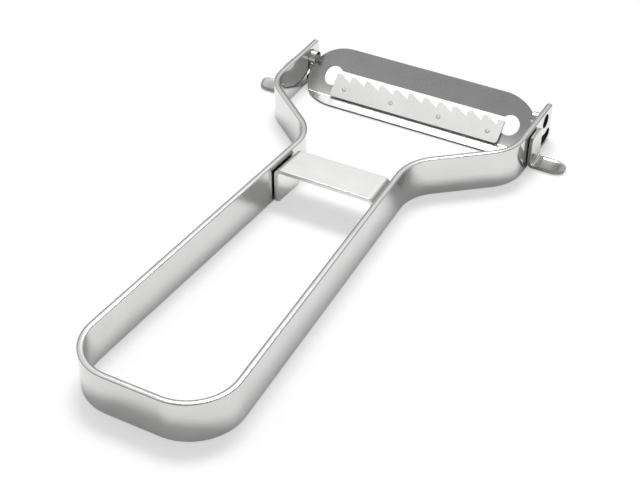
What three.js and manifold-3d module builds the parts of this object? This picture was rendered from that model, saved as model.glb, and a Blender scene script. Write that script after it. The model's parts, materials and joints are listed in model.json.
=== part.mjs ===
// Julienne peeler: a bent steel strip carries a swivelling blade between its two arms.
// Millimetres, +Z up. The strip lies on its edge, with the handle towards -Y and the blade towards +Y.
import * as THREE from 'three';
import { mergeVertices } from 'three/addons/utils/BufferGeometryUtils.js';
import Module from 'manifold-3d';

const degrees = Math.PI / 180;

// Strip that forms the handle loop, the shoulders and the two arms; lengths follow its centreline
const stripThickness = 1.5;
const stripHeight = 10;
const stripEdgeChamfer = 0.2;
const handleEndHalfFlat = 6.3;
const handleCornerRadius = 11;
const handleTaper = 2.9 * degrees;
const handleSideLength = 76;
const neckRadius = 11.6;
const flareAngle = 53.5 * degrees;
const flareLength = 14.5;
const shoulderRadius = 10.5;
const armLength = 18;
const armTipRadius = 0.45;

// Channel that ties the two sides together just before the neck bends
const bridgeSheet = 1;
const bridgeDepth = 9.6;
const bridgeSetback = 1.9;
const bridgeDrop = 0.55;
const bridgeSeam = 0.3;
const bridgeBendRadius = 1.7;

// Pivot of the blade, measured back from the arm tips and up from the lower edge of the strip
const pivotSetback = 4.25;
const pivotHeight = 7.3;
const pivotHoleRadius = 1.75;
const pivotClearance = 0.08;
const pivotRecess = 0.7;
const pivotReach = 1.9;

// Blade carrier: a hollowed sheet with rounded ends, turned out at the front into a lip that lies level at rest;
// lengths follow the middle of the sheet
const carrierSheet = 0.5;
const carrierSideGap = 0.4;
const carrierHollow = 24;
const carrierDepth = 13.6;
const carrierEndRound = 10.4;
const noseFromBack = 8.65;
const rollSeam = 0.45;
const lipLength = 4;
const lipTurn = 32.3 * degrees;
const lipBendRadius = 0.75;
const lipFloorGap = 0.1;

// Long opening in the carrier under the teeth, with a round eye just beyond each end of the blade
const slotFromBack = 7.85;
const slotHalfWidth = 1.76;
const slotEyeRadius = 2.62;
const slotOverrun = 1.18;

// Stop: a boss on an ear of the carrier runs in a curved slot of each arm
const swingUp = 22 * degrees;
const swingDown = 14 * degrees;
const stopPlay = 1.5 * degrees;
const stopRadius = 5;
const stopBossAngle = 9 * degrees;
const stopBossRadius = 1;
const stopBossRecess = 0.9;
const stopClearance = 0.3;
const earHalfWidth = 1.5;
const earThickness = 1.2;

// Toothed blade on the carrier; each tooth stands square on the left, peaks and slopes down to the right
const bladeLength = 46.84;
const bladeSheet = 0.5;
const bladeGap = 0.3;
const bladeWidth = 6.45;
const bladeCornerRadius = 0.8;
const toothCount = 11;
const toothHeight = 1.7;
const toothShoulder = 1.47;
const toothPeak = 0.9;
const lastToothLand = 1.7;

// Rivets of the toothed blade
const rivetCount = 4;
const rivetFromEnd = 3.31;
const rivetFromFoot = 2.5;
const rivetRadius = 0.55;
const rivetHeadRadius = 1.1;
const rivetHeadHeight = 0.3;
const rivetProud = 0.05;
const rivetChamfer = 0.15;
const rivetClearance = 0.1;

// Eye removers: a plate on the outside of each arm, turned out at the foot into a tongue, crowned along its middle
const gougeSheet = 0.9;
const gougeSetback = 12.3;
const gougePlateHalfWidth = 3.2;
const gougePlateDrop = 1.1;
const gougeCornerRadius = 1.4;
const gougeBendRadius = 1.5;
const gougeReach = 8.6;
const gougeTongueHalfWidth = 2.6;
const gougeTipLength = 3;
const gougeTipHalfWidth = 0.6;
const gougeCrown = 1.2;
const gougeCrownPower = 1.3;
const gougeCrownRun = 1.5;
const gougeFloorGap = 0.1;

// Seam under a welded plate, how far cutters run past what they cut, and facets of round forms
const weldGap = 0.15;
const cutterMargin = 1;
const mergeTolerance = 1e-5;
const stripBendSteps = 12;
const sheetBendSteps = 5;
const crownSteps = 8;
const roundSteps = 24;

const wasm = await Module();
wasm.setup();

function solidOf(geometry) {
  const bare = geometry.clone();
  bare.deleteAttribute('normal');
  bare.deleteAttribute('uv');
  const merged = mergeVertices(bare, mergeTolerance);
  const mesh = new wasm.Mesh({
    numProp: 3,
    vertProperties: new Float32Array(merged.attributes.position.array),
    triVerts: new Uint32Array(merged.index.array),
  });
  return new wasm.Manifold(mesh);
}

function geometryOf(solid) {
  const mesh = solid.getMesh();
  const geometry = new THREE.BufferGeometry();
  geometry.setAttribute('position', new THREE.BufferAttribute(mesh.vertProperties, 3));
  geometry.setIndex(new THREE.BufferAttribute(mesh.triVerts, 1));
  geometry.computeVertexNormals();
  return geometry;
}

// Extrudes a shape drawn in (y, z) along X
function alongX(shape, fromX, toX) {
  const geometry = new THREE.ExtrudeGeometry(shape, { depth: toX - fromX, bevelEnabled: false });
  const axes = new THREE.Matrix4().makeBasis(
    new THREE.Vector3(0, 1, 0),
    new THREE.Vector3(0, 0, 1),
    new THREE.Vector3(1, 0, 0),
  );
  geometry.applyMatrix4(axes);
  geometry.translate(fromX, 0, 0);
  return geometry;
}

// Extrudes a shape drawn in (x, y) along Z
function alongZ(shape, fromZ, toZ) {
  const geometry = new THREE.ExtrudeGeometry(shape, { depth: toZ - fromZ, bevelEnabled: false });
  geometry.translate(0, 0, fromZ);
  return geometry;
}

function arcPoints(centreX, centreY, radius, fromAngle, toAngle, steps) {
  const points = [];
  for (let i = 0; i <= steps; i += 1) {
    const angle = fromAngle + ((toAngle - fromAngle) * i) / steps;
    points.push(new THREE.Vector2(centreX + radius * Math.cos(angle), centreY + radius * Math.sin(angle)));
  }
  return points;
}

function circlePoints(centreX, centreY, radius) {
  return arcPoints(centreX, centreY, radius, 0, 2 * Math.PI, roundSteps).slice(0, -1);
}

function rectangle(lowX, highX, lowY, highY) {
  return new THREE.Shape([
    new THREE.Vector2(lowX, lowY),
    new THREE.Vector2(highX, lowY),
    new THREE.Vector2(highX, highY),
    new THREE.Vector2(lowX, highY),
  ]);
}

// Closes a sheet, given as rows of matching upper and lower points, into one solid
function closedSheet(rows) {
  const columns = rows[0].length;
  const positions = [];
  for (const face of ['upper', 'lower']) {
    for (const row of rows) {
      for (const point of row) positions.push(...point[face].toArray());
    }
  }
  const triangles = [];
  const upper = (row, column) => row * columns + column;
  const lower = (row, column) => (rows.length + row) * columns + column;
  const quad = (a, b, c, d) => triangles.push(a, b, c, a, c, d);
  const lastRow = rows.length - 1;
  const lastColumn = columns - 1;
  for (let r = 0; r < lastRow; r += 1) {
    for (let c = 0; c < lastColumn; c += 1) {
      quad(upper(r, c), upper(r, c + 1), upper(r + 1, c + 1), upper(r + 1, c));
      quad(lower(r, c), lower(r + 1, c), lower(r + 1, c + 1), lower(r, c + 1));
    }
    quad(upper(r, 0), upper(r + 1, 0), lower(r + 1, 0), lower(r, 0));
    quad(upper(r, lastColumn), lower(r, lastColumn), lower(r + 1, lastColumn), upper(r + 1, lastColumn));
  }
  for (let c = 0; c < lastColumn; c += 1) {
    quad(upper(0, c), lower(0, c), lower(0, c + 1), upper(0, c + 1));
    quad(upper(lastRow, c), upper(lastRow, c + 1), lower(lastRow, c + 1), lower(lastRow, c));
  }
  const geometry = new THREE.BufferGeometry();
  geometry.setAttribute('position', new THREE.Float32BufferAttribute(positions, 3));
  geometry.setIndex(triangles);
  geometry.computeVertexNormals();
  return geometry;
}

// Runs of the strip's right half, from the middle of the handle's end to the arm tip
const stripRuns = [
  { length: handleEndHalfFlat },
  { turn: Math.PI / 2 + handleTaper, radius: handleCornerRadius },
  { length: handleSideLength },
  { turn: -flareAngle, radius: neckRadius },
  { length: flareLength },
  { turn: flareAngle - handleTaper, radius: shoulderRadius },
  { length: armLength },
];

// Walks one face of the strip's right half, at a distance outward from its centreline
function stripFace(outward) {
  const points = [];
  let heading = 0;
  let here = new THREE.Vector2(0, -outward);
  for (const run of stripRuns) {
    if (run.turn === undefined) {
      const step = new THREE.Vector2(Math.cos(heading), Math.sin(heading)).multiplyScalar(run.length);
      here = here.clone().add(step);
      points.push(here);
    } else {
      const side = Math.sign(run.turn);
      const radius = run.radius + side * outward;
      const centreX = here.x - side * radius * Math.sin(heading);
      const centreY = here.y + side * radius * Math.cos(heading);
      const fromAngle = heading - (side * Math.PI) / 2;
      const bend = arcPoints(centreX, centreY, radius, fromAngle, fromAngle + run.turn, stripBendSteps);
      points.push(...bend.slice(1));
      heading += run.turn;
      here = bend[stripBendSteps];
    }
  }
  return points;
}

const outerFace = stripFace(stripThickness / 2);
const innerFace = stripFace(-stripThickness / 2);
const handleSideEnd = innerFace[stripBendSteps + 1];
const armTipY = outerFace.at(-1).y;
const armOuterX = outerFace.at(-1).x;
const armInnerX = innerFace.at(-1).x;

// The pivot, the journal rolled about it and the ends of the carrier
const pivotY = armTipY - pivotSetback;
const journalRadius = pivotHoleRadius - pivotClearance;
const journalMiddle = journalRadius - carrierSheet / 2;
const carrierHalfLength = armInnerX - carrierSideGap;

// Distances along the carrier's sheet from the lip's front edge
const lipTangent = lipBendRadius * Math.tan(lipTurn / 2);
const lipFlat = lipLength - lipTangent;
const lipBendLength = lipBendRadius * lipTurn;
const hollowStart = lipFlat + lipBendLength;
const carrierBack = hollowStart + carrierDepth - lipTangent;
const noseDistance = carrierBack - noseFromBack;
const slotDistance = carrierBack - slotFromBack;
const rivetDistance = lipFlat + lipBendLength / 2 + rivetFromFoot;

// Centre of the hollow and the lip's front edge, seen from the pivot: the journal's roll is tangent to the sheet
const hollowInset = lipFlat + (lipBendRadius - carrierHollow) * Math.sin(lipTurn);
const hollowRise = lipBendRadius + (carrierHollow - lipBendRadius) * Math.cos(lipTurn);
const lipEdgeZ = lipFloorGap + carrierSheet / 2 - pivotHeight;
const hollowZ = lipEdgeZ + hollowRise;
const hollowY = -Math.sqrt((carrierHollow - journalMiddle) ** 2 - hollowZ ** 2);
const lipEdgeY = hollowY - hollowInset;
const seatTilt = Math.atan2(-hollowY, hollowZ);

// The boss seen from the pivot, and the faces of the blade above the middle of the sheet
const bossY = stopRadius * Math.sin(stopBossAngle);
const bossZ = -stopRadius * Math.cos(stopBossAngle);
const bladeBottom = carrierSheet / 2 + bladeGap;
const bladeTop = bladeBottom + bladeSheet;

// Place and tilt of the middle of the carrier's sheet at a distance from the lip's front edge
function alongCarrier(distance) {
  const flat = Math.min(distance, lipFlat);
  const lipTilt = THREE.MathUtils.clamp(distance - lipFlat, 0, lipBendLength) / lipBendRadius;
  const tilt = lipTilt + Math.max(0, distance - hollowStart) / carrierHollow;
  const bentY = lipBendRadius * Math.sin(lipTilt) + carrierHollow * (Math.sin(tilt) - Math.sin(lipTilt));
  const bentZ = lipBendRadius * (1 - Math.cos(lipTilt)) + carrierHollow * (Math.cos(lipTilt) - Math.cos(tilt));
  return { y: lipEdgeY + flat + bentY, z: lipEdgeZ + bentZ, tilt };
}

// The bent strip, with the pivot hole and the stop slot through both arms
function handleFrame() {
  const mirrored = (points) => points.map((point) => new THREE.Vector2(-point.x, point.y));
  const outline = new THREE.Shape([
    ...outerFace,
    ...innerFace.toReversed(),
    ...mirrored(innerFace),
    ...mirrored(outerFace).toReversed(),
  ]);
  const strip = new THREE.ExtrudeGeometry(outline, {
    depth: stripHeight - 2 * stripEdgeChamfer,
    bevelThickness: stripEdgeChamfer,
    bevelSize: stripEdgeChamfer,
    bevelOffset: -stripEdgeChamfer,
    bevelSegments: 1,
  });
  strip.translate(0, 0, stripEdgeChamfer);
  const pivotHole = new THREE.Shape(circlePoints(pivotY, pivotHeight, pivotHoleRadius));
  const reach = armOuterX + cutterMargin;
  let solid = solidOf(strip);
  for (const cutter of [tipCorner(0, -1), tipCorner(stripHeight, 1), pivotHole, stopSlot()]) {
    solid = solid.subtract(solidOf(alongX(cutter, -reach, reach)));
  }
  return geometryOf(solid);
}

// The waste outside the round of an arm tip's corner at the strip's upper or lower edge
function tipCorner(edgeZ, outward) {
  const roundY = armTipY - armTipRadius;
  const roundZ = edgeZ - outward * armTipRadius;
  const wasteY = armTipY + cutterMargin;
  const wasteZ = edgeZ + outward * cutterMargin;
  return new THREE.Shape([
    ...arcPoints(roundY, roundZ, armTipRadius, 0, (outward * Math.PI) / 2, sheetBendSteps),
    new THREE.Vector2(roundY, wasteZ),
    new THREE.Vector2(wasteY, wasteZ),
    new THREE.Vector2(wasteY, roundZ),
  ]);
}

// A slot on an arc about the pivot, with round ends, as long as the boss travels
function stopSlot() {
  const half = stopBossRadius + stopClearance;
  const rest = stopBossAngle - Math.PI / 2;
  const from = rest - swingUp - stopPlay;
  const to = rest + swingDown + stopPlay;
  const end = (angle) => [pivotY + stopRadius * Math.cos(angle), pivotHeight + stopRadius * Math.sin(angle)];
  return new THREE.Shape([
    ...arcPoints(pivotY, pivotHeight, stopRadius + half, from, to, stripBendSteps),
    ...arcPoints(...end(to), half, to, to + Math.PI, stripBendSteps).slice(1),
    ...arcPoints(pivotY, pivotHeight, stopRadius - half, to, from, stripBendSteps).slice(1),
    ...arcPoints(...end(from), half, from + Math.PI, from + 2 * Math.PI, stripBendSteps).slice(1, -1),
  ]);
}

// The neck channel: a sheet folded down at both sides, which follow the taper of the handle
function bridgePlate() {
  const taper = Math.tan(handleTaper);
  const backY = handleSideEnd.y - bridgeSetback;
  const half = handleSideEnd.x + bridgeSetback * taper - bridgeSeam;
  const top = stripHeight - bridgeDrop;
  const bendX = half - bridgeBendRadius;
  const bendZ = top - bridgeBendRadius;
  const innerRadius = bridgeBendRadius - bridgeSheet;
  const profile = new THREE.Shape([
    new THREE.Vector2(half, 0),
    ...arcPoints(bendX, bendZ, bridgeBendRadius, 0, Math.PI / 2, sheetBendSteps),
    ...arcPoints(-bendX, bendZ, bridgeBendRadius, Math.PI / 2, Math.PI, sheetBendSteps),
    new THREE.Vector2(-half, 0),
    new THREE.Vector2(bridgeSheet - half, 0),
    ...arcPoints(-bendX, bendZ, innerRadius, Math.PI, Math.PI / 2, sheetBendSteps),
    ...arcPoints(bendX, bendZ, innerRadius, Math.PI / 2, 0, sheetBendSteps),
    new THREE.Vector2(half - bridgeSheet, 0),
  ]);
  const channel = new THREE.ExtrudeGeometry(profile, { depth: bridgeDepth, bevelEnabled: false });
  channel.rotateX(Math.PI / 2);
  const place = channel.attributes.position;
  for (let i = 0; i < place.count; i += 1) {
    const widening = -place.getY(i) * taper;
    place.setX(i, place.getX(i) + Math.sign(place.getX(i)) * widening);
  }
  channel.translate(0, backY, 0);
  return geometryOf(solidOf(channel));
}

// An eye remover: rows run down the plate, round the bend and out along the tongue to its tip
function eyeRemover(side) {
  const seatX = armOuterX + weldGap;
  const bendX = seatX + gougeBendRadius;
  const bendZ = gougeFloorGap + gougeBendRadius;
  const plateTop = stripHeight - gougePlateDrop;
  const tipX = seatX + gougeReach;
  const roundStartX = tipX - gougeTipLength;
  const openRadius = gougeBendRadius - gougeSheet;
  const narrowing = gougePlateHalfWidth - gougeTongueHalfWidth;
  const rows = [];
  for (let i = 0; i <= sheetBendSteps; i += 1) {
    const angle = ((Math.PI / 2) * i) / sheetBendSteps;
    const z = plateTop - gougeCornerRadius * (1 - Math.cos(angle));
    const half = gougePlateHalfWidth - gougeCornerRadius * (1 - Math.sin(angle));
    rows.push({ seat: [seatX, z], open: [seatX + gougeSheet, z], half, crown: 0 });
  }
  for (let i = 0; i <= sheetBendSteps; i += 1) {
    const share = i / sheetBendSteps;
    const angle = Math.PI + (Math.PI / 2) * share;
    const at = (radius) => [bendX + radius * Math.cos(angle), bendZ + radius * Math.sin(angle)];
    const half = gougePlateHalfWidth - narrowing * share;
    rows.push({ seat: at(gougeBendRadius), open: at(openRadius), half, crown: 0 });
  }
  const tongueRow = (x, half) => {
    const crown = (gougeCrown * half) / gougeTongueHalfWidth;
    rows.push({ seat: [x, gougeFloorGap], open: [x, gougeFloorGap + gougeSheet], half, crown });
  };
  tongueRow(bendX + gougeCrownRun, gougeTongueHalfWidth);
  for (let i = 0; i <= sheetBendSteps; i += 1) {
    const angle = (Math.PI / 2) * (i / sheetBendSteps);
    const half = gougeTipHalfWidth + (gougeTongueHalfWidth - gougeTipHalfWidth) * Math.cos(angle);
    tongueRow(roundStartX + gougeTipLength * Math.sin(angle), half);
  }
  const centreY = armTipY - gougeSetback;
  const grid = rows.map((row) => {
    const points = [];
    for (let i = 0; i <= crownSteps; i += 1) {
      const across = 1 - (2 * i) / crownSteps;
      const y = centreY + side * across * row.half;
      const lift = row.crown * (1 - Math.abs(across) ** gougeCrownPower);
      const at = ([x, z]) => new THREE.Vector3(side * x, y, z + lift);
      points.push({ upper: at(row.open), lower: at(row.seat) });
    }
    return points;
  });
  return closedSheet(grid);
}

// Half the carrier's length at a distance along the sheet: each end is two quarters of an ellipse
function carrierHalfAt(distance) {
  const span = distance < noseDistance ? noseDistance : carrierBack - noseDistance;
  const share = (distance - noseDistance) / span;
  const square = Math.max(0, 1 - share * share);
  return carrierHalfLength - carrierEndRound * (1 - Math.sqrt(square));
}

// The carrier's sheet, as rows from the lip's front edge through the bend and the hollow to the back edge
function carrierSheetSolid() {
  const distances = [noseDistance];
  for (let i = 0; i < roundSteps / 2; i += 1) {
    const share = 1 - Math.cos((Math.PI * i) / roundSteps);
    distances.push(noseDistance * share, carrierBack - (carrierBack - noseDistance) * share);
  }
  for (let i = 0; i <= sheetBendSteps; i += 1) {
    distances.push(lipFlat + (lipBendLength * i) / sheetBendSteps);
  }
  distances.sort((a, b) => a - b);
  const rows = distances.map((distance) => {
    const { y, z, tilt } = alongCarrier(distance);
    const half = carrierHalfAt(distance);
    const overY = (-carrierSheet / 2) * Math.sin(tilt);
    const overZ = (carrierSheet / 2) * Math.cos(tilt);
    return [-half, half].map((x) => ({
      upper: new THREE.Vector3(x, y + overY, z + overZ),
      lower: new THREE.Vector3(x, y - overY, z - overZ),
    }));
  });
  return solidOf(closedSheet(rows));
}

// Stands a geometry on the carrier's sheet, square to it, at a distance from the lip's front edge
function onCarrier(geometry, distance) {
  const { y, z, tilt } = alongCarrier(distance);
  geometry.rotateX(tilt);
  geometry.translate(0, y, z);
  return geometry;
}

// The rolled journal's section about the pivot, with its root along the sheet and the seam where the roll ends
function journalSections() {
  const ring = new THREE.Shape(circlePoints(0, 0, journalRadius));
  ring.holes.push(new THREE.Path(circlePoints(0, 0, journalRadius - carrierSheet)));
  const rootTop = carrierSheet - journalRadius;
  return {
    ring,
    root: rectangle(-journalRadius, 0, -journalRadius, rootTop),
    seam: rectangle(-journalRadius - cutterMargin, 0, rootTop, rootTop + rollSeam),
  };
}

// The ear hangs from the sheet, away from the centre of the hollow, and ends round the boss
function earSection() {
  const away = Math.atan2(bossZ - hollowZ, bossY - hollowY);
  const along = new THREE.Vector2(Math.cos(away), Math.sin(away));
  const across = new THREE.Vector2(-along.y, along.x).multiplyScalar(earHalfWidth);
  const root = new THREE.Vector2(hollowY, hollowZ).addScaledVector(along, carrierHollow);
  return new THREE.Shape([
    root.clone().add(across),
    root.clone().sub(across),
    ...arcPoints(bossY, bossZ, earHalfWidth, away - Math.PI / 2, away + Math.PI / 2, stripBendSteps),
  ]);
}

// The carrier: sheet, rolled journals, stop ears and bosses, less the slot, its eyes and the rivet holes
function bladeCarrier() {
  const { ring, root, seam } = journalSections();
  const boss = new THREE.Shape(circlePoints(bossY, bossZ, stopBossRadius));
  const innerEnd = armInnerX - pivotReach;
  const journalEnd = armOuterX - pivotRecess;
  const end = carrierHalfLength;
  const bothEnds = (shape, fromX, toX) => [alongX(shape, fromX, toX), alongX(shape, -toX, -fromX)];
  const seated = (geometries) => geometries.map((geometry) => geometry.rotateX(seatTilt));
  const added = [
    ...seated(bothEnds(ring, innerEnd, journalEnd)),
    ...seated(bothEnds(root, innerEnd, end)),
    ...bothEnds(earSection(), end - earThickness, end),
    ...bothEnds(boss, end - carrierSheet, armOuterX - stopBossRecess),
  ];
  const slotHalfSpan = bladeLength / 2 + slotOverrun;
  const low = -carrierSheet - cutterMargin;
  const high = carrierSheet + cutterMargin;
  const slot = rectangle(-slotHalfSpan, slotHalfSpan, -slotHalfWidth, slotHalfWidth);
  const eye = (x) => new THREE.Shape(circlePoints(x, 0, slotEyeRadius));
  const cut = [
    onCarrier(alongZ(slot, low, high), slotDistance),
    onCarrier(alongZ(eye(-slotHalfSpan), low, high), slotDistance),
    onCarrier(alongZ(eye(slotHalfSpan), low, high), slotDistance),
    ...rivetPlaces().map((x) => onCarrier(alongZ(rivetHole(x), low, high), rivetDistance)),
    ...seated(bothEnds(seam, innerEnd - cutterMargin, armOuterX)),
  ];
  let solid = carrierSheetSolid();
  for (const geometry of added) solid = solid.add(solidOf(geometry));
  for (const geometry of cut) solid = solid.subtract(solidOf(geometry));
  return geometryOf(solid);
}

function rivetPlaces() {
  const pitch = (bladeLength - 2 * rivetFromEnd) / (rivetCount - 1);
  const places = [];
  for (let i = 0; i < rivetCount; i += 1) places.push((i - (rivetCount - 1) / 2) * pitch);
  return places;
}

function rivetHole(x) {
  return new THREE.Shape(circlePoints(x, 0, rivetRadius + rivetClearance));
}

// The toothed blade, drawn from its line of rivets: a flat strip whose back edge is a row of saw teeth
function julienneBlade() {
  const half = bladeLength / 2;
  const footY = -rivetFromFoot;
  const valleyY = footY + bladeWidth - toothHeight;
  const pitch = (bladeLength - lastToothLand) / toothCount;
  const roundX = half - bladeCornerRadius;
  const roundY = footY + bladeCornerRadius;
  const teeth = [];
  for (let i = 0; i < toothCount; i += 1) {
    const flankX = -half + i * pitch;
    teeth.push(
      new THREE.Vector2(flankX, valleyY + toothShoulder),
      new THREE.Vector2(flankX + toothPeak, valleyY + toothHeight),
      new THREE.Vector2(flankX + pitch, valleyY),
    );
  }
  const outline = new THREE.Shape([
    ...arcPoints(-roundX, roundY, bladeCornerRadius, -Math.PI / 2, -Math.PI, sheetBendSteps),
    ...teeth,
    new THREE.Vector2(half - lastToothLand, valleyY + toothShoulder),
    new THREE.Vector2(half, valleyY + toothShoulder),
    ...arcPoints(roundX, roundY, bladeCornerRadius, 0, -Math.PI / 2, sheetBendSteps),
  ]);
  const low = bladeBottom - cutterMargin;
  const high = bladeTop + cutterMargin;
  let solid = solidOf(alongZ(outline, bladeBottom, bladeTop));
  for (const x of rivetPlaces()) solid = solid.subtract(solidOf(alongZ(rivetHole(x), low, high)));
  return geometryOf(solid);
}

// A rivet: a flat head under the carrier and a shank that ends just proud of the blade
function bladeRivet(x) {
  const headTop = -carrierSheet / 2 - rivetClearance;
  const shankTop = bladeTop + rivetProud;
  const profile = [
    [0, headTop - rivetHeadHeight],
    [rivetHeadRadius, headTop - rivetHeadHeight],
    [rivetHeadRadius, headTop],
    [rivetRadius, headTop],
    [rivetRadius, shankTop - rivetChamfer],
    [rivetRadius - rivetChamfer, shankTop],
    [0, shankTop],
  ].map(([radius, height]) => new THREE.Vector2(radius, height));
  const rivet = new THREE.LatheGeometry(profile, roundSteps);
  rivet.rotateX(Math.PI / 2);
  rivet.translate(x, 0, 0);
  return geometryOf(solidOf(rivet));
}

function piece(name, geometry, color, roughness) {
  const material = new THREE.MeshStandardMaterial({ color, roughness, metalness: 1 });
  const mesh = new THREE.Mesh(geometry, material);
  mesh.name = name;
  return mesh;
}

// The swivelling pieces are drawn from the pivot, and the blade and its rivets from the line of rivets
const rivetLine = alongCarrier(rivetDistance);
const bladeSeat = new THREE.Group();
bladeSeat.position.set(0, rivetLine.y, rivetLine.z);
bladeSeat.rotation.x = rivetLine.tilt;
bladeSeat.add(piece('julienne_blade', julienneBlade(), 0xd8d8d5, 0.35));
rivetPlaces().forEach((x, index) => {
  bladeSeat.add(piece(`blade_rivet_${index + 1}`, bladeRivet(x), 0xc8c8c6, 0.35));
});
const swivel = new THREE.Group();
swivel.position.set(0, pivotY, pivotHeight);
swivel.add(piece('blade_carrier', bladeCarrier(), 0xb4b5b4, 0.25));
swivel.add(bladeSeat);

const peeler = new THREE.Group();
peeler.add(piece('handle_frame', handleFrame(), 0xc4c5c4, 0.3));
peeler.add(piece('bridge_plate', bridgePlate(), 0xcacac8, 0.3));
peeler.add(piece('eye_remover_left', eyeRemover(-1), 0xbebfbe, 0.3));
peeler.add(piece('eye_remover_right', eyeRemover(1), 0xbebfbe, 0.3));
peeler.add(swivel);

// The origin is below the middle of the whole, on the surface that it lies on
const frontY = -stripThickness / 2;
const backEdge = alongCarrier(carrierBack);
const backY = Math.max(armTipY, pivotY + backEdge.y + (carrierSheet / 2) * Math.sin(backEdge.tilt));
peeler.position.y = -(frontY + backY) / 2;

export default peeler;
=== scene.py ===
"""Julienne peeler: the looks of a bent steel strip that carries a swivelling toothed blade."""
import json

import bpy
import numpy as np
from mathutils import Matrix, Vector
from mathutils.geometry import delaunay_2d_cdt


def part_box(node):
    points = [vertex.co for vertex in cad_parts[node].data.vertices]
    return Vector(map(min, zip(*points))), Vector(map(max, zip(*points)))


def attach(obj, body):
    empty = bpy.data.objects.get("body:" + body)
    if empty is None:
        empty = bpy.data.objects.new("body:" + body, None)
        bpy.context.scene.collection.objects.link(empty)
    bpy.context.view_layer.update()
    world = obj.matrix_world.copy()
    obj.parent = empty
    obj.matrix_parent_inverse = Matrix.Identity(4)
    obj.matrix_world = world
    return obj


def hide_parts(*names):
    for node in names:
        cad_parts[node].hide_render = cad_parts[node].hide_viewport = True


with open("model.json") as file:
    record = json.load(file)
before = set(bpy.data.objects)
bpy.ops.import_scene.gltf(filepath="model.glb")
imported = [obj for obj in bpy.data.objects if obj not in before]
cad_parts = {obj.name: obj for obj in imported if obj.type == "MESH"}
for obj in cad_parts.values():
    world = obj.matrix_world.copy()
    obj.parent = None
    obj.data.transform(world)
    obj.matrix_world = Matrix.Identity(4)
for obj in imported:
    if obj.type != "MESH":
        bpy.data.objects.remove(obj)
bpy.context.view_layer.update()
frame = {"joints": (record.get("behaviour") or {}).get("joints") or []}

# Handle strip: one length of stainless strip, stood on edge and bent into the handle loop, the flared
# shoulders and the two arms. Its edges are tumbled soft, and both arms are pierced for the blade's
# journals and for the stop. Lengths are in millimetres.
mm = 0.001
strip_thickness = 1.5
strip_height = 10.0
strip_edge = (0.3, 0.74, 0.125)
strip_hole_edge = (0.15, 0.15, 1.0)
handle_taper = 2.9
# Half the strip's line, from the middle of the handle's end to the arm's tip, as walk takes it.
strip_runs = [
    (6.3, 0.0),
    (11.0, 90.0 + handle_taper),
    (76.0, 0.0),
    (11.6, -53.5),
    (14.5, 0.0),
    (10.5, 50.6),
    (18.0, 0.0),
]
arm_tip_radius = 0.45
pivot_hole_radius = 1.75
stop_radius = 5.0
stop_slot_half_width = 1.3
stop_slot_ends = (-104.5, -65.5)
strip_colour = (0.66, 0.66, 0.655)


def walk(runs):
    """A line made of straights (length, 0) and bends (radius, turn in degrees), as a function of distance.

    Places are complex numbers. Along a run the place is its start plus the heading times the integral of
    exp(i k s), which is d exp(i k d / 2) sinc(k d / 2), and left is the offset to the left of the line.
    """
    turns = np.radians([turn for _, turn in runs])
    sizes = np.array([size for size, _ in runs])
    lengths = np.where(turns == 0, sizes, sizes * np.abs(turns))
    curvature = turns / lengths
    begins = np.cumsum(lengths) - lengths
    headings = np.cumsum(turns) - turns

    def chord(distance, bend):
        return distance * np.exp(0.5j * bend * distance) * np.sinc(bend * distance / (2 * np.pi))

    steps = np.exp(1j * headings) * chord(lengths, curvature)
    places = np.cumsum(steps) - steps

    def place(distance, left=0.0):
        run = np.clip(np.searchsorted(begins, distance, side="right") - 1, 0, len(runs) - 1)
        past = distance - begins[run]
        heading = headings[run] + curvature[run] * past
        here = places[run] + np.exp(1j * headings[run]) * chord(past, curvature[run])
        return here + 1j * left * np.exp(1j * heading)

    return place, lengths.sum()


def arc(centre, radius, start, end, steps):
    """Points on a circle: the centre plus the radius times the cosine and sine of even steps, in degrees."""
    angle = np.radians(np.linspace(start, end, steps + 1))
    return np.column_stack([centre[0] + radius * np.cos(angle), centre[1] + radius * np.sin(angle)])


def round_hole(centre, radius, steps=48):
    """A circle run clockwise, as the edge of a hole."""
    return arc(centre, radius, 360, 0, steps)[:-1]


def round_blank(half, height, corner, steps):
    """A rectangle with round corners, run anticlockwise: u from -half to half, and v from 0 to height."""
    across, up = half - corner, height - corner
    return np.vstack([
        arc((across, corner), corner, -90, 0, steps),
        arc((across, up), corner, 0, 90, steps),
        arc((-across, up), corner, 90, 180, steps),
        arc((-across, corner), corner, 180, 270, steps),
    ])


def cut_sides(loop, step):
    """The same closed line, with each side cut into equal lengths no longer than step."""
    side = np.roll(loop, -1, axis=0) - loop
    count = np.maximum(1, np.ceil(np.linalg.norm(side, axis=1) / step).astype(int))
    order = np.arange(count.sum()) - np.repeat(np.cumsum(count) - count, count)
    share = order / np.repeat(count, count)
    return np.repeat(loop, count, axis=0) + np.repeat(side, count, axis=0) * share[:, None]


def within(points, loops):
    """Even-odd rule: a point is inside where a ray along +u crosses the loops an odd number of times."""
    crossings = np.zeros(len(points), int)
    for loop in loops:
        low, high = loop, np.roll(loop, -1, axis=0)
        level = points[:, 1:]
        spans = (low[:, 1] > level) != (high[:, 1] > level)
        rise = high[:, 1] - low[:, 1]
        slope = (high[:, 0] - low[:, 0]) / np.where(rise == 0, 1, rise)
        crossings += np.sum(spans & (low[:, 0] + (level - low[:, 1]) * slope > points[:, :1]), axis=1)
    return crossings % 2 == 1


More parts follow.
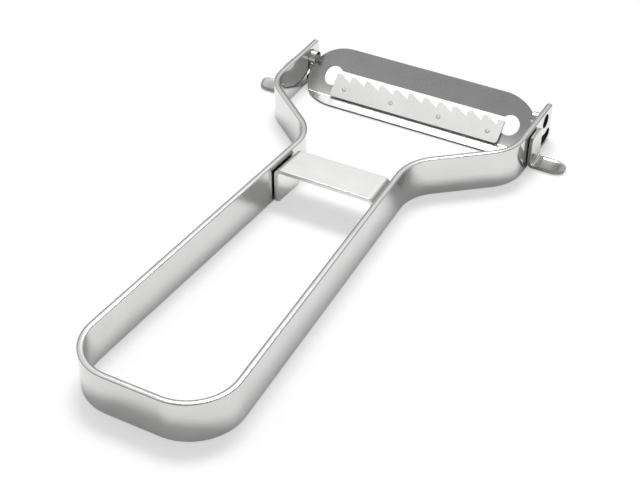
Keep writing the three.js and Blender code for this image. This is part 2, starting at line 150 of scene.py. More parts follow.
def stamped(loops, lines, thickness, edges, bend):
    """A bent sheet blank with rounded edges: its points, faces, normals, flat coordinates and cut.

    Loops are drawn in flat coordinates (u, v), the outline anticlockwise and the holes clockwise. Each has an
    edge (depth, reach, share) that runs over a quarter ellipse, down the wall and over another: at angle a it
    lies depth (1 - sin a) inside the loop, at height half the thickness less reach (1 - cos a). The faces
    between the inset loops are triangulated through the crossings of the given lines. bend takes (u, v, w)
    to (x, y, z), and each normal is the cross product of two bent tangents. cut marks the cut edges: the
    edge's share times sin a on an edge, and 0 on the faces. The steel makes these edges rougher, and darker
    as painted shade where edges, holes and gaps fall into shadow.
    """
    edge_steps, steep, tiny, weld = 6, 0.7, 0.01, 1e-6
    quarter = np.radians(np.linspace(0, 90, edge_steps + 1))
    lean = np.concatenate([quarter, quarter[::-1]])
    face = np.repeat([1.0, -1.0], len(quarter))
    flat, normal, cut, quads, rims, upper, lower = [], [], [], [], [], [], []
    taken = 0
    for loop, (depth, reach, torn_and_shaded) in zip(loops, edges):
        ahead = np.roll(loop, -1, axis=0) - loop
        ahead /= np.linalg.norm(ahead, axis=1, keepdims=True)
        right = np.column_stack([ahead[:, 1], -ahead[:, 0]])
        out = right + np.roll(right, 1, axis=0)
        out /= np.linalg.norm(out, axis=1, keepdims=True)
        mitre = out / np.sum(out * right, axis=1, keepdims=True)
        grid = np.empty((len(lean), len(loop), 3))
        grid[..., :2] = loop - depth * (1 - np.sin(lean))[:, None, None] * mitre
        grid[..., 2] = (face * (thickness / 2 - reach * (1 - np.cos(lean))))[:, None]
        facing = np.empty_like(grid)
        facing[..., :2] = reach * np.sin(lean)[:, None, None] * out
        facing[..., 2] = (depth * face * np.cos(lean))[:, None]
        facing /= np.linalg.norm(facing, axis=2, keepdims=True)
        index = taken + np.arange(grid[..., 0].size).reshape(grid.shape[:2])
        beside = np.roll(index, -1, axis=1)
        quads.append(np.stack([index[:-1], index[1:], beside[1:], beside[:-1]], axis=-1).reshape(-1, 4))
        flat.append(grid.reshape(-1, 3))
        normal.append(facing.reshape(-1, 3))
        # The edge mask: rougher torn steel, and painted shade that darkens the edges where shadow falls.
        cut.append(np.repeat(torn_and_shaded * np.sin(lean), len(loop)))
        rims.append(grid[0, :, :2])
        upper.append(index[0])
        lower.append(index[-1])
        taken += index.size
    rim = np.vstack(rims)
    inner = np.stack(np.meshgrid(*lines), axis=-1).reshape(-1, 2)
    inner = inner[within(inner, rims)]
    spacing = np.linalg.norm(inner[:, None] - rim[None], axis=2).min(axis=1)
    inner = inner[spacing > 2 * min(depth for depth, _, _ in edges)]
    points = np.vstack([rim, inner])
    order = np.arange(len(rim))
    sizes = np.array([len(loop) for loop in loops])
    last = np.cumsum(sizes) - 1
    onward = order + 1
    onward[last] = last - sizes + 1
    borders = np.column_stack([order, onward]).tolist()
    _, _, triangles, source, _, _ = delaunay_2d_cdt(points.tolist(), borders, [], 1, weld)
    triangles = np.array(source).ravel()[np.array(triangles)]
    triangles = triangles[within(points[triangles].mean(axis=1), rims)]
    for ids, side in ((upper, 1.0), (lower, -1.0)):
        ids.append(taken + np.arange(len(inner)))
        taken += len(inner)
        flat.append(np.column_stack([inner, np.full(len(inner), side * thickness / 2)]))
        normal.append(np.tile([0.0, 0.0, side], (len(inner), 1)))
        cut.append(np.zeros(len(inner)))
    upper, lower = np.concatenate(upper), np.concatenate(lower)
    faces = [*np.vstack(quads).tolist(), *upper[triangles].tolist(), *lower[triangles[:, ::-1]].tolist()]
    flat, normal = np.vstack(flat), np.vstack(normal)
    axis = np.where(np.abs(normal[:, 2:]) < steep, [[0.0, 0.0, 1.0]], [[1.0, 0.0, 0.0]])
    first = np.cross(axis, normal)
    first /= np.linalg.norm(first, axis=1, keepdims=True)
    second = np.cross(normal, first)
    bent_first = bend(flat + tiny * first) - bend(flat - tiny * first)
    bent_second = bend(flat + tiny * second) - bend(flat - tiny * second)
    bent_normal = np.cross(bent_first, bent_second)
    bent_normal /= np.linalg.norm(bent_normal, axis=1, keepdims=True)
    return bend(flat), faces, bent_normal, flat, np.concatenate(cut)


def add_object(name, data):
    """A new object in the scene, at the origin."""
    thing = bpy.data.objects.new(name, data)
    bpy.context.scene.collection.objects.link(thing)
    return thing


def make_piece(name, parts, material):
    """One mesh object, in metres at the origin, from parts such as stamped returns."""
    counts = [len(part[0]) for part in parts]
    begins = np.cumsum(counts) - counts
    faces = [(np.array(face) + begin).tolist() for begin, part in zip(begins, parts) for face in part[1]]
    flat = np.vstack([part[3] for part in parts])
    mesh = bpy.data.meshes.new(name)
    mesh.from_pydata((np.vstack([part[0] for part in parts]) * mm).tolist(), [], faces)
    corners = np.empty(len(mesh.loops), np.int32)
    mesh.loops.foreach_get("vertex_index", corners)
    layer = mesh.uv_layers.new(name="flat")
    layer.data.foreach_set("uv", (flat[corners, :2] * mm).ravel())
    cut = mesh.attributes.new("cut", "FLOAT", "POINT")
    cut.data.foreach_set("value", np.concatenate([part[4] for part in parts]))
    mesh.shade_smooth()
    mesh.normals_split_custom_set_from_vertices(np.vstack([part[2] for part in parts]).tolist())
    mesh.materials.append(material)
    return add_object(name, mesh)


class Signal:
    """A node's output in shading formulas: arithmetic on it adds Math nodes to its tree."""

    def __init__(self, socket):
        self.socket = socket

    def math(self, operation, first, second):
        tree = self.socket.id_data
        return add_node(tree, "ShaderNodeMath", {"operation": operation}, {0: first, 1: second})

    def __add__(self, other):
        return self.math("ADD", self, other)

    def __radd__(self, other):
        return self.math("ADD", other, self)

    def __sub__(self, other):
        return self.math("SUBTRACT", self, other)

    def __rsub__(self, other):
        return self.math("SUBTRACT", other, self)

    def __mul__(self, other):
        return self.math("MULTIPLY", self, other)

    def __rmul__(self, other):
        return self.math("MULTIPLY", other, self)


def add_node(tree, kind, settings, inputs, output=0):
    """Adds a node, sets its settings, then gives each named socket a value or a link; returns one output."""
    node = tree.nodes.new(kind)
    for key, value in settings.items():
        setattr(node, key, value)
    for key, value in inputs.items():
        if isinstance(value, Signal):
            tree.links.new(value.socket, node.inputs[key])
        else:
            node.inputs[key].default_value = value
    return Signal(node.outputs[output])


def add_node_output(tree, kind, surface):
    """Ends a tree with its output node."""
    tree.links.new(surface.socket, tree.nodes.new(kind).inputs["Surface"])


def bare_tree(owner):
    """The node tree of a material or a world, emptied."""
    owner.use_nodes = True
    owner.node_tree.nodes.clear()
    return owner.node_tree


# How far the tone of steel swings each way, what lines, blotches and painted shade on cut edges add to it,
# and two of their sizes.
steel_swing = 0.14
steel_line_tone = 0.6
steel_blotch_tone = 0.5
steel_edge_shade_tone = 4.0
steel_blotch_scale = 120.0
steel_line_height = 0.0002


def steel(name, colour, roughness, grain, streak=0.10, depth=0.02, edge_tear_and_shade=0.0):
    """Worked stainless steel: fine lines along the sheet's grain and soft blotches from handling.

    The lines are noise on flat coordinates, whose scales along and across the sheet are the grain. They shift
    the roughness by streak and the colour a little, and a bump of the same noise breaks up the reflections.
    The blotches are slow noise. Cut edges are rougher, in step with the edge share, and darker by it as
    painted shade, for the shadow on edges, in holes and in the gaps between parts.
    """
    material = bpy.data.materials.new(name)
    tree = bare_tree(material)
    flat = add_node(tree, "ShaderNodeUVMap", {"uv_map": "flat"}, {})
    stretched = add_node(
        tree, "ShaderNodeVectorMath", {"operation": "MULTIPLY"}, {0: flat, 1: (grain[0], grain[1], 1.0)}
    )
    lines = add_node(
        tree, "ShaderNodeTexNoise", {}, {"Vector": stretched, "Scale": 1.0, "Detail": 4.0, "Roughness": 0.6}
    )
    place = add_node(tree, "ShaderNodeTexCoord", {}, {}, "Object")
    blotches = add_node(
        tree, "ShaderNodeTexNoise", {}, {"Vector": place, "Scale": steel_blotch_scale, "Detail": 3.0}
    )
    cut = add_node(tree, "ShaderNodeAttribute", {"attribute_name": "cut"}, {}, "Fac")
    tone = 0.5 + steel_line_tone * (lines - 0.5) + steel_blotch_tone * (blotches - 0.5)
    # Painted shade: cut edges are darkened, for the shadow on edges, in holes and in the gaps between parts.
    tone = tone - steel_edge_shade_tone * edge_tear_and_shade * cut
    dark = tuple((1 - steel_swing) * channel for channel in colour) + (1.0,)
    light = tuple((1 + steel_swing) * channel for channel in colour) + (1.0,)
    # The mix node's inputs 6 and 7 are its two colours, and its output 2 is the mixed one.
    tint = add_node(
        tree,
        "ShaderNodeMix",
        {"data_type": "RGBA", "clamp_factor": False},
        {"Factor": tone, 6: dark, 7: light},
        2,
    )
    bump = add_node(
        tree, "ShaderNodeBump", {}, {"Strength": depth, "Distance": steel_line_height, "Height": lines}
    )
    surface = add_node(
        tree,
        "ShaderNodeBsdfPrincipled",
        {},
        {
            "Base Color": tint,
            "Metallic": 1.0,
            "Roughness": roughness + streak * (lines - 0.5) + 0.5 * streak * (blotches - 0.5) + edge_tear_and_shade * cut,
            "Normal": bump,
        },
    )
    add_node_output(tree, "ShaderNodeOutputMaterial", surface)
    return material


strip_low, strip_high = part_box("handle_frame")
end_line_y = strip_low.y / mm + strip_thickness / 2
pivot = np.array(frame["joints"][0]["pos_m"]) / mm
strip_line, half_strip = walk(strip_runs)
pivot_place = half_strip - (strip_high.y / mm - pivot[1])


def bend_strip(flat):
    """The strip's blank bent: u runs along the line from the middle of the handle's end, w points outward."""
    here = strip_line(np.abs(flat[:, 0]), -flat[:, 2])
    return np.column_stack([here.real * np.sign(flat[:, 0]), here.imag + end_line_y, flat[:, 1]])


def stop_slot(side):
    """The edge of the slot about the pivot: an outer arc, a round end, an inner arc and a round end."""
    low, high = stop_slot_ends
    centre = (pivot_place, pivot[2])
    ends = arc(centre, stop_radius, low, high, 1)
    loop = np.vstack([
        arc(centre, stop_radius + stop_slot_half_width, low, high, 24),
        arc(ends[1], stop_slot_half_width, high, high + 180, 20)[1:],
        arc(centre, stop_radius - stop_slot_half_width, high, low, 24)[1:],
        arc(ends[0], stop_slot_half_width, low + 180, low + 360, 20)[1:-1],
    ])
    loop[:, 0] *= side
    return loop[::-1] if side > 0 else loop


strip_outline = round_blank(half_strip, strip_height, arm_tip_radius, steps=10)
strip_loops = [cut_sides(strip_outline, step=0.7)]
for side in (-1, 1):
    strip_loops += [round_hole((side * pivot_place, pivot[2]), pivot_hole_radius), stop_slot(side)]
strip_edges = [strip_edge] + 4 * [strip_hole_edge]
strip_lines = (np.linspace(-half_strip, half_strip, 440), np.linspace(0, strip_height, 7))
strip_steel = steel(
    "strip_steel",
    strip_colour,
    roughness=0.12,
    grain=(60.0, 5000.0),
    streak=0.06,
    depth=0.008,
    # Painted shade: darkens the cut edges, most of all the walls of the pivot holes and stop slots.
    edge_tear_and_shade=0.8,
)
strip = make_piece(
    "bent_strip", [stamped(strip_loops, strip_lines, strip_thickness, strip_edges, bend_strip)], strip_steel
)
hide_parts("handle_frame")
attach(strip, "frame")

# Bridge plate: a stainless sheet folded down at both sides into a channel, and welded between the sides
# of the strip just before the neck. Its flanges follow the handle's taper, and its top is left bare.
bridge_sheet = 1.0
bridge_bend = 1.7
bridge_corner = 1.0
bridge_edge = (0.2, 0.2, 1.0)
bridge_colour = (0.8, 0.8, 0.79)
bridge_slope = np.tan(np.radians(handle_taper))
bridge_low, bridge_high = (np.array(corner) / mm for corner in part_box("bridge_plate"))
bridge_depth = bridge_high[1] - bridge_low[1]
bridge_half = bridge_high[0] - bridge_depth * bridge_slope
bridge_flat = bridge_half - bridge_bend
bridge_mid = bridge_bend - bridge_sheet / 2
bridge_flange = bridge_high[2] - bridge_bend
bridge_line, bridge_reach = walk([(bridge_flat, 0.0), (bridge_mid, -90.0), (bridge_flange, 0.0)])


def fold_bridge(flat):
    """The channel's fold: each way a straight, a bend down and a straight, widened towards the front."""
    here = bridge_line(np.abs(flat[:, 0]), flat[:, 2])
    widening = (bridge_depth - flat[:, 1]) * bridge_slope
    across = here.real * np.sign(flat[:, 0])
    across = across + widening * np.clip(across / bridge_flat, -1, 1)
    top = bridge_high[2] - bridge_sheet / 2
    return np.column_stack([across, bridge_low[1] + flat[:, 1], top + here.imag])


bridge_outline = round_blank(bridge_reach, bridge_depth, bridge_corner, steps=8)
bridge_lines = (np.linspace(-bridge_reach, bridge_reach, 140), np.linspace(0, bridge_depth, 9))
bridge_steel = steel(
    "bridge_steel",
    bridge_colour,
    roughness=0.2,
    grain=(80.0, 4000.0),
    streak=0.06,
    depth=0.01,
    # Painted shade: darkens the cut edges a little.
    edge_tear_and_shade=0.1,
)
bridge = make_piece(
    "folded_bridge",
    [stamped([cut_sides(bridge_outline, step=0.3)], bridge_lines, bridge_sheet, [bridge_edge], fold_bridge)],
    bridge_steel,
)
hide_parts("bridge_plate")
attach(bridge, "frame")

# Eye removers: a pressed stainless plate welded on the outside of each arm, bent out at its foot into a
# tongue that is crowned along its middle, with the hollow below and a rounded tip.
scoop_sheet = 0.9
scoop_edge = (0.22, 0.22, 1.0)
scoop_bend = 1.5
scoop_plate_corner = 1.4
scoop_tongue_half = 2.6
scoop_tip_half = 0.6
scoop_tip_length = 3.0
scoop_crown = 1.7
scoop_crown_power = 1.1
scoop_crown_run = 1.5
scoop_ridge_round = 0.1
scoop_colour = (0.64, 0.64, 0.63)
scoop_steel = steel(
    "eye_remover_steel",
    scoop_colour,
    roughness=0.18,
    grain=(900.0, 300.0),
    streak=0.1,
    depth=0.02,
    # Painted shade: darkens the cut edges, such as the plate's near edge that lies in the arm's shadow.
    edge_tear_and_shade=0.45,
)


def eye_remover(name, node, side):
    """A plate, a bend and a tongue: the tongue rises to its middle as 1 less a power of the way across.

    The right one is bent with w towards the open side. The left one is the same, turned half round.
    """
    low, high = (np.array(corner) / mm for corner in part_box(node))
    reach = high[0] - low[0]
    plate_half = (high[1] - low[1]) / 2
    middle = (high[1] + low[1]) / 2
    mid_bend = scoop_bend - scoop_sheet / 2
    plate = high[2] - low[2] - scoop_bend
    line, length = walk([(plate, 0.0), (mid_bend, 90.0), (reach - scoop_bend, 0.0)])
    bend_end = plate + mid_bend * np.pi / 2

    def press(flat):
        here = line(flat[:, 0], flat[:, 2])
        away = scoop_sheet / 2 + here.imag
        ramp = np.clip((flat[:, 0] - bend_end) / scoop_crown_run, 0, 1)
        tip = np.clip((flat[:, 0] - length) / scoop_tip_length + 1, 0, 1)
        half = scoop_tip_half + (scoop_tongue_half - scoop_tip_half) * np.sqrt(1 - tip**2)
        across = np.minimum(np.hypot(flat[:, 1] / half, scoop_ridge_round), 1)
        crown = scoop_crown * half / scoop_tongue_half * ramp**2 * (3 - 2 * ramp)
        rise = crown * (1 - across**scoop_crown_power)
        seat = low[0] if side > 0 else -high[0]
        return np.column_stack([side * (seat + away), middle + side * flat[:, 1], high[2] - here.real + rise])

    round_in = plate_half - scoop_plate_corner
    turn = np.radians(np.linspace(0, 90, 13))
    tip_start = length - scoop_tip_length
    tip_side = np.column_stack([
        tip_start + scoop_tip_length * np.sin(turn),
        scoop_tip_half + (scoop_tongue_half - scoop_tip_half) * np.cos(turn),
    ])
    outline = np.vstack([
        arc((scoop_plate_corner, round_in), scoop_plate_corner, 180, 90, 10),
        [(plate, plate_half), (bend_end, scoop_tongue_half)],
        tip_side,
        (tip_side * [1, -1])[::-1],
        [(bend_end, -scoop_tongue_half), (plate, -plate_half)],
        arc((scoop_plate_corner, -round_in), scoop_plate_corner, 270, 180, 10),
    ])[::-1]
    lines = (np.linspace(0, length, 56), np.linspace(-plate_half, plate_half, 17))
    piece = make_piece(
        name, [stamped([cut_sides(outline, step=0.25)], lines, scoop_sheet, [scoop_edge], press)], scoop_steel
    )
    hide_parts(node)
    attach(piece, "frame")


eye_remover("scoop_left", "eye_remover_left", -1)
eye_remover("scoop_right", "eye_remover_right", 1)

# Blade carrier: a polished stainless pressing with rounded ends. Its front edge is turned out into a lip,
# a long slot with a round eye at each end lets the cut strips through, and at each end a tab is rolled
# into the journal that turns in the arm, with an ear and a boss that stop the swing.
carrier_sheet = 0.5
carrier_edge = (0.12, 0.12, 1.0)
carrier_hollow = 24.0
carrier_rise = 13.6
carrier_end_round = 10.4
carrier_side_gap = 0.4
lip_length = 4.0
lip_turn = 32.3
lip_bend = 0.75
nose_from_back = 8.65
slot_from_back = 7.85
slot_half_width = 1.76
slot_eye_radius = 2.62
slot_half_span = 24.6
journal_radius = 1.67
journal_reach = 1.9
journal_recess = 0.7
journal_seam = 0.45
tab_relief = 0.02
turned_tip = 0.02
ear_thickness = 1.2
ear_half_width = 1.5
stop_boss_radius = 1.0
stop_boss_recess = 0.9
stop_boss_round = 0.3
stop_rest_angle = -81.0
carrier_colour = (0.66, 0.66, 0.655)
carrier_low = np.array(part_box("blade_carrier")[0]) / mm
lip_edge = carrier_low[1] + 1j * (carrier_low[2] + carrier_sheet / 2)
lip_tangent = lip_bend * np.tan(np.radians(lip_turn / 2))
lip_flat = lip_length - lip_tangent
bend_length = lip_bend * np.radians(lip_turn)
hollow_start = lip_flat + bend_length
hollow_turn = np.degrees((carrier_rise - lip_tangent) / carrier_hollow)
carrier_line, carrier_depth = walk([(lip_flat, 0.0), (lip_bend, lip_turn), (carrier_hollow, hollow_turn)])
arm_outer = strip_high.x / mm
arm_inner = arm_outer - strip_thickness
carrier_half = arm_inner - carrier_side_gap
nose = carrier_depth - nose_from_back
slot_line = carrier_depth - slot_from_back


def bend_carrier(flat):
    """The pressing bent: u runs along the blade, v from the lip's edge round its bend and up the hollow."""
    here = lip_edge + carrier_line(flat[:, 1], flat[:, 2])
    return np.column_stack([flat[:, 0], here.real, here.imag])


def carrier_end(side):
    """An end of the pressing: a quarter ellipse from the lip's edge to the nose, and one on to the back."""
    turn = np.radians(np.linspace(0, 90, 25))
    lower = np.column_stack([np.sin(turn), nose * (1 - np.cos(turn))])
    higher = np.column_stack([np.cos(turn), nose + nose_from_back * np.sin(turn)])
    end = np.vstack([lower, higher[1:]])
    end[:, 0] = side * (carrier_half - carrier_end_round * (1 - end[:, 0]))
    return end


eye_meets_slot = 180 - np.degrees(np.arcsin(slot_half_width / slot_eye_radius))
slot_loop = np.vstack([
    arc((slot_half_span, slot_line), slot_eye_radius, -eye_meets_slot, eye_meets_slot, 40),
    arc((-slot_half_span, slot_line), slot_eye_radius, 180 - eye_meets_slot, 180 + eye_meets_slot, 40),
])[::-1]
carrier_outline = np.vstack([carrier_end(1), carrier_end(-1)[::-1]])
carrier_lines = (
    np.linspace(-carrier_half, carrier_half, 65),
    np.concatenate([
        np.linspace(0, lip_flat, 5),
        lip_flat + bend_length * np.linspace(0, 1, 9)[1:],
        np.linspace(hollow_start, carrier_depth, 24)[1:],
    ]),
)
carrier_loops = [cut_sides(carrier_outline, step=0.25), cut_sides(slot_loop, step=0.5)]
carrier_parts = [stamped(carrier_loops, carrier_lines, carrier_sheet, 2 * [carrier_edge], bend_carrier)]

journal_mid = journal_radius - carrier_sheet / 2
roll_length = 2 * np.pi * journal_mid - journal_seam
pivot_point = pivot[1] + 1j * pivot[2]
hollow_centre = lip_edge + carrier_line(np.array([hollow_start]), carrier_hollow)[0]
to_pivot = pivot_point - hollow_centre
seat_turn = 1j * to_pivot / abs(to_pivot)


def roll_tab(flat):
    """A tab's end: flat along the sheet where v is below 0, then rolled up round the pivot's axis."""
    turn = np.maximum(flat[:, 1], 0) / journal_mid
    rolled = (journal_mid - flat[:, 2]) * np.exp(1j * (turn - np.pi / 2))
    here = pivot_point + (rolled + np.minimum(flat[:, 1], 0)) * seat_turn
    return np.column_stack([flat[:, 0], here.real, here.imag])


def turned(profile, steps, place):
    """A turned piece: a profile of (radius, height) carried round its axis, then put in its place.

    Each normal is the profile's slope turned a right angle outwards and carried round in the same way. Flat
    caps close the two ends of the profile, which stop a little short of the axis.
    """
    angle = np.linspace(0, 2 * np.pi, steps, endpoint=False)

    def carry_round(rows):
        radius, height = rows[:, :1], rows[:, 1:]
        return np.stack([radius * np.cos(angle), radius * np.sin(angle), height + 0 * angle], axis=-1)

    along = np.gradient(profile, axis=0)
    lean = np.column_stack([along[:, 1], -along[:, 0]])
    lean /= np.linalg.norm(lean, axis=1, keepdims=True)
    grid, facing = carry_round(profile), carry_round(lean)
    index = np.arange(grid[..., 0].size).reshape(grid.shape[:2])
    beside = np.roll(index, -1, axis=1)
    faces = np.stack([index[:-1], beside[:-1], beside[1:], index[1:]], axis=-1).reshape(-1, 4)
    flat, facing = grid.reshape(-1, 3), facing.reshape(-1, 3)
    caps = [index[0][::-1].tolist(), index[-1].tolist()]
    normal = place(flat + facing) - place(flat)
    return place(flat), [*faces.tolist(), *caps], normal, flat, np.zeros(len(flat))


def round_shoulder(radius, top, corner):
    """The rim of a turned end: a quarter circle of the corner's radius, from the side up to the flat top."""
    turn = np.radians(np.linspace(0, 90, 5))
    return np.column_stack([radius - corner * (1 - np.cos(turn)), top - corner * (1 - np.sin(turn))])


boss_point = pivot_point + stop_radius * np.exp(1j * np.radians(stop_rest_angle))
away = (boss_point - hollow_centre) / abs(boss_point - hollow_centre)
ear_root = hollow_centre + carrier_hollow * away
ear_sides = np.array([ear_root + 1j * ear_half_width * away, ear_root - 1j * ear_half_width * away])
away_angle = np.degrees(np.angle(away))
ear_outline = np.vstack([
    np.column_stack([ear_sides.real, ear_sides.imag]),
    arc((boss_point.real, boss_point.imag), ear_half_width, away_angle - 90, away_angle + 90, 24),
])
ear_lines = (
    np.linspace(ear_outline[:, 0].min(), ear_outline[:, 0].max(), 9),
    np.linspace(ear_outline[:, 1].min(), ear_outline[:, 1].max(), 9),
)
boss_rise = arm_outer - stop_boss_recess - carrier_half
boss_profile = np.vstack([
    [(turned_tip, -carrier_sheet), (stop_boss_radius, -carrier_sheet)],
    round_shoulder(stop_boss_radius, boss_rise, stop_boss_round),
    [(turned_tip, boss_rise)],
])


def stand_ear(flat, side):
    """An ear stands square to the pivot's axis: u and v are y and z, and w runs along x."""
    return np.column_stack([side * (carrier_half - ear_thickness / 2) + flat[:, 2], flat[:, :2]])


def stand_boss(flat, side):
    """A boss stands out from its ear towards the arm, turned half round on the left."""
    out = side * (carrier_half + flat[:, 2])
    return np.column_stack([out, boss_point.real + side * flat[:, 0], boss_point.imag + flat[:, 1]])


for side in (-1, 1):
    ends = np.sort([side * (arm_inner - journal_reach), side * (arm_outer - journal_recess)])
    tab = np.array([
        (ends[0], -journal_radius),
        (ends[1], -journal_radius),
        (ends[1], roll_length),
        (ends[0], roll_length),
    ])
    tab_lines = (np.linspace(ends[0], ends[1], 8), np.linspace(-journal_radius, roll_length, 60))
    carrier_parts += [
        stamped([cut_sides(tab, step=0.16)], tab_lines, carrier_sheet - tab_relief, [carrier_edge], roll_tab),
        stamped(
            [cut_sides(ear_outline, step=0.3)],
            ear_lines,
            ear_thickness,
            [carrier_edge],
            lambda flat: stand_ear(flat, side),
        ),
        turned(boss_profile, steps=32, place=lambda flat: stand_boss(flat, side)),
    ]
carrier_steel = steel(
    "carrier_steel",
    carrier_colour,
    roughness=0.28,
    grain=(40.0, 2500.0),
    streak=0.06,
    depth=0.012,
    # Painted shade: darkens the cut edges, such as the lip's front edge, the slot's edges and the journals'
    # ends.
    edge_tear_and_shade=0.6,
)
carrier = make_piece("pressed_carrier", carrier_parts, carrier_steel)
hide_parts("blade_carrier")
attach(carrier, "blade")

# Toothed blade: a thin ground strip of hard stainless, its back edge cut into a row of saw teeth that
# stand over the slot. It lies on the carrier and four rivets hold it.
blade_sheet = 0.5
blade_edge = (0.06, 0.06, 1.0)
blade_gap = 0.3
blade_length = 46.84
blade_width = 6.45
blade_corner = 0.8
tooth_count = 11
tooth_height = 1.7
tooth_shoulder = 1.47
tooth_peak = 0.9
last_tooth_land = 1.7
rivet_count = 4
rivet_from_end = 3.31
rivet_from_foot = 2.5
rivet_hole_radius = 0.53
blade_colour = (0.77, 0.77, 0.76)
rivet_distance = lip_flat + bend_length / 2 + rivet_from_foot
blade_tilt = np.radians(lip_turn) + (rivet_distance - hollow_start) / carrier_hollow
blade_lift = carrier_sheet / 2 + blade_gap + blade_sheet / 2
blade_seat = lip_edge + carrier_line(np.array([rivet_distance]), blade_lift)[0]


def lay_blade(flat):
    """Flat on the carrier's slope: v runs up the slope from the blade's foot, w stands square to it."""
    here = blade_seat + (flat[:, 1] - rivet_from_foot + 1j * flat[:, 2]) * np.exp(1j * blade_tilt)
    return np.column_stack([flat[:, 0], here.real, here.imag])


blade_half = blade_length / 2
tooth_pitch = (blade_length - last_tooth_land) / tooth_count
flanks = -blade_half + tooth_pitch * np.arange(tooth_count)
valley = blade_width - tooth_height
teeth = np.stack([
    np.column_stack([flanks, np.full(tooth_count, valley + tooth_shoulder)]),
    np.column_stack([flanks + tooth_peak, np.full(tooth_count, blade_width)]),
    np.column_stack([flanks + tooth_pitch, np.full(tooth_count, valley)]),
], axis=1).reshape(-1, 2)
corner_in = blade_half - blade_corner
blade_outline = np.vstack([
    arc((-corner_in, blade_corner), blade_corner, 270, 180, 8),
    teeth,
    [(blade_half - last_tooth_land, valley + tooth_shoulder), (blade_half, valley + tooth_shoulder)],
    arc((corner_in, blade_corner), blade_corner, 0, -90, 8),
])[::-1]
rivet_x = np.linspace(rivet_from_end - blade_half, blade_half - rivet_from_end, rivet_count)
blade_loops = [cut_sides(blade_outline, step=0.6)]
blade_loops += [round_hole((x, rivet_from_foot), rivet_hole_radius, steps=32) for x in rivet_x]
blade_lines = (np.linspace(-blade_half, blade_half, 60), np.linspace(0, blade_width, 9))
blade_steel = steel(
    "blade_steel",
    blade_colour,
    roughness=0.62,
    grain=(2500.0, 200.0),
    streak=0.06,
    depth=0.02,
    # Painted shade: darkens the cut edges, such as the foot's edge over the shadowed gap below it.
    edge_tear_and_shade=0.3,
)
blade = make_piece(
    "toothed_blade",
    [stamped(blade_loops, blade_lines, blade_sheet, len(blade_loops) * [blade_edge], lay_blade)],
    blade_steel,
)
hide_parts("julienne_blade")
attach(blade, "blade")

# Rivets: four plain steel rivets with a flat head under the carrier, set just proud of the blade.
rivet_radius = 0.5
rivet_head_radius = 1.1
rivet_head_height = 0.3
rivet_head_round = 0.05
rivet_proud = 0.03
rivet_round = 0.15
rivet_clearance = 0.1
rivet_colour = (0.66, 0.66, 0.65)
head_top = -blade_sheet / 2 - blade_gap - carrier_sheet - rivet_clearance
shank_top = blade_sheet / 2 + rivet_proud
rivet_profile = np.vstack([
    [(turned_tip, head_top - rivet_head_height)],
    round_shoulder(rivet_head_radius, rivet_head_height - head_top, rivet_head_round)[::-1] * [1, -1],
    [(rivet_head_radius, head_top), (rivet_radius, head_top)],
    round_shoulder(rivet_radius, shank_top, rivet_round),
    [(turned_tip, shank_top)],
])
rivet_steel = steel("rivet_steel", rivet_colour, roughness=0.55, grain=(400.0, 400.0))
for number, x in enumerate(rivet_x, start=1):
    rivet = make_piece(
        f"set_rivet_{number}",
        [turned(rivet_profile, steps=32, place=lambda flat: lay_blade(flat + [x, rivet_from_foot, 0.0]))],
        rivet_steel,
    )
    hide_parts(f"blade_rivet_{number}")
    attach(rivet, "blade")

# Studio: a plain pale floor under a soft lamp overhead, with a pale room behind that dims towards the
# front, and the camera at the photograph's angle. The floor is lifted to white where the camera sees it.
# The room's strengths are shares of white, and each fades over a range of the direction that it lies in.
floor_half = 3.0
floor_colour = (0.92, 0.92, 0.92, 1.0)
floor_lift = 0.5
floor_mirror_lift = 0.02
room_back = 1.0
room_front = 0.28
room_left = 0.14
room_left_edge = (-0.25, -0.36)
room_right = 0.3
room_right_edge = (0.25, 0.65)
room_heart = (-0.45, 0.55, 0.7)
room_edge = (0.5, 0.9)
room_sill = (0.4, 0.58)
lamp_place = (-0.13, 0.31, 0.71)
lamp_size = (0.3, 0.21)
lamp_power = 4.25
camera_azimuth = 28.75
camera_elevation = 37.69
camera_place = (125.71, -154.66, 196.02)
camera_focal_pixels = 1420.55
camera_sensor = 36.0
camera_nearest = 0.01
picture_width = 640

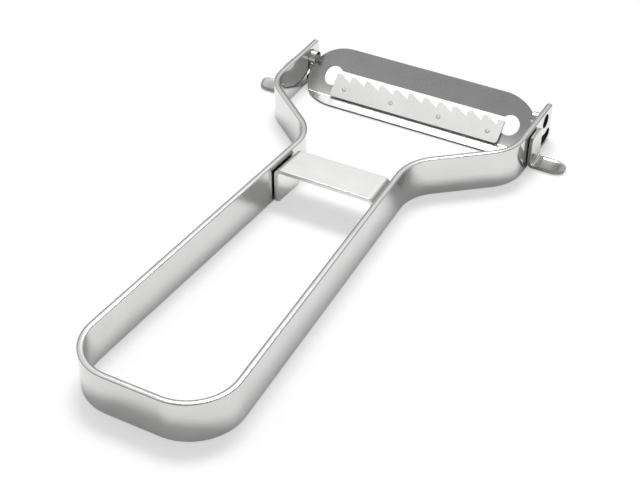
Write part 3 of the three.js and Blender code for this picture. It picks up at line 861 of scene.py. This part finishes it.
floor_mesh = bpy.data.meshes.new("floor")
floor_corners = [(floor_half * x, floor_half * y, 0.0) for x, y in ((-1, -1), (1, -1), (1, 1), (-1, 1))]
floor_mesh.from_pydata(floor_corners, [], [(0, 1, 2, 3)])
floor = add_object("floor", floor_mesh)
floor_paint = bpy.data.materials.new("floor_paint")
tree = bare_tree(floor_paint)
matte = add_node(tree, "ShaderNodeBsdfDiffuse", {}, {"Color": floor_colour})
white = add_node(tree, "ShaderNodeEmission", {}, {"Color": (1.0, 1.0, 1.0, 1.0), "Strength": 1.0})
seen = add_node(tree, "ShaderNodeLightPath", {}, {}, "Is Camera Ray")
mirrored = add_node(tree, "ShaderNodeLightPath", {}, {}, "Is Glossy Ray")
through = add_node(tree, "ShaderNodeLightPath", {}, {}, "Is Transmission Ray")
lift = floor_lift * (seen + through) + floor_mirror_lift * mirrored
add_node_output(
    tree, "ShaderNodeOutputMaterial", add_node(tree, "ShaderNodeMixShader", {}, {0: lift, 1: matte, 2: white})
)
floor_mesh.materials.append(floor_paint)

studio = bpy.data.worlds.new("studio")
tree = bare_tree(studio)
direction = add_node(tree, "ShaderNodeTexCoord", {}, {}, "Generated")
towards = add_node(
    tree, "ShaderNodeVectorMath", {"operation": "DOT_PRODUCT"}, {0: direction, 1: room_heart}, "Value"
)
height = add_node(tree, "ShaderNodeSeparateXYZ", {}, {0: direction}, "Z")
rightward = add_node(tree, "ShaderNodeSeparateXYZ", {}, {0: direction}, "X")


def soft_step(value, edge):
    """A smooth step from 0 to 1 between the two values of edge."""
    return add_node(
        value.socket.id_data,
        "ShaderNodeMapRange",
        {"interpolation_type": "SMOOTHSTEP"},
        {"Value": value, "From Min": edge[0], "From Max": edge[1]},
    )


sides = room_left * soft_step(rightward, room_left_edge) + room_right * soft_step(rightward, room_right_edge)
front = room_front + sides
glow = front + (room_back - front) * soft_step(towards, room_edge) * soft_step(height, room_sill)
sky = add_node(tree, "ShaderNodeBackground", {}, {"Color": (1.0, 1.0, 1.0, 1.0), "Strength": glow})
add_node_output(tree, "ShaderNodeOutputWorld", sky)
bpy.context.scene.world = studio

lamp_data = bpy.data.lights.new("overhead", "AREA")
lamp_data.energy = lamp_power
lamp_data.shape = "RECTANGLE"
lamp_data.size, lamp_data.size_y = lamp_size
lamp = add_object("overhead", lamp_data)
lamp.location = lamp_place
lamp.rotation_euler = Vector(lamp_place).to_track_quat("Z", "Y").to_euler()

camera_data = bpy.data.cameras.new("camera")
camera_data.sensor_width = camera_sensor
camera_data.lens = camera_focal_pixels / picture_width * camera_sensor
camera_data.clip_start = camera_nearest
camera = add_object("camera", camera_data)
camera.location = (camera_place[0] * mm, (camera_place[1] + end_line_y) * mm, camera_place[2] * mm)
camera.rotation_euler = (np.radians(90 - camera_elevation), 0.0, np.radians(camera_azimuth))
bpy.context.scene.camera = camera
bpy.context.scene.view_settings.view_transform = "Standard"
